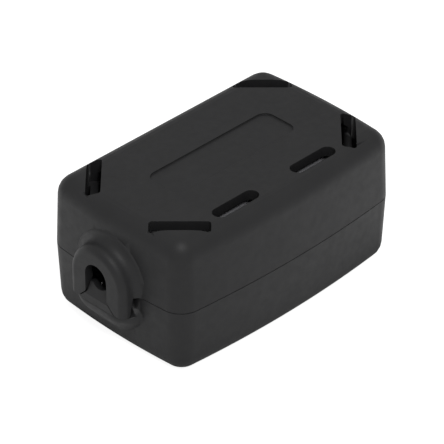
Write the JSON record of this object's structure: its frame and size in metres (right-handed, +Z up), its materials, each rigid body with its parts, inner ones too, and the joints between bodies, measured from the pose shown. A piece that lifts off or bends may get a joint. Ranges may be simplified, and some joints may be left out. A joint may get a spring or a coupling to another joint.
{
  "type": "clip-on ferrite bead",
  "caption": "Split ferrite core in a hinged two-half plastic housing that snaps shut round a lead, with a hooded snout at each end.",
  "frame": {"origin": "centre of the outline in plan, on the flat underside of the lower half", "axes": "+X along the lead's channel, +Y towards the hinge side, +Z up through the upper half"},
  "size_m": [0.0452, 0.0258, 0.0199],
  "materials": {
    "housing": "fine-textured black polyamide",
    "ferrite": "ground sintered ferrite, dark grey"
  },
  "bodies": {
    "lower": {"lower_housing": "housing", "lower_core": "ferrite"},
    "upper": {"upper_housing": "housing", "upper_core": "ferrite"}
  },
  "joints": [
    {"name": "lid_hinge", "type": "hinge", "parent": "lower", "child": "upper", "pos_m": [0, 0.0129, 0.00993], "axis": [-1, 0, 0], "range_deg": [0, 180]}
  ]
}
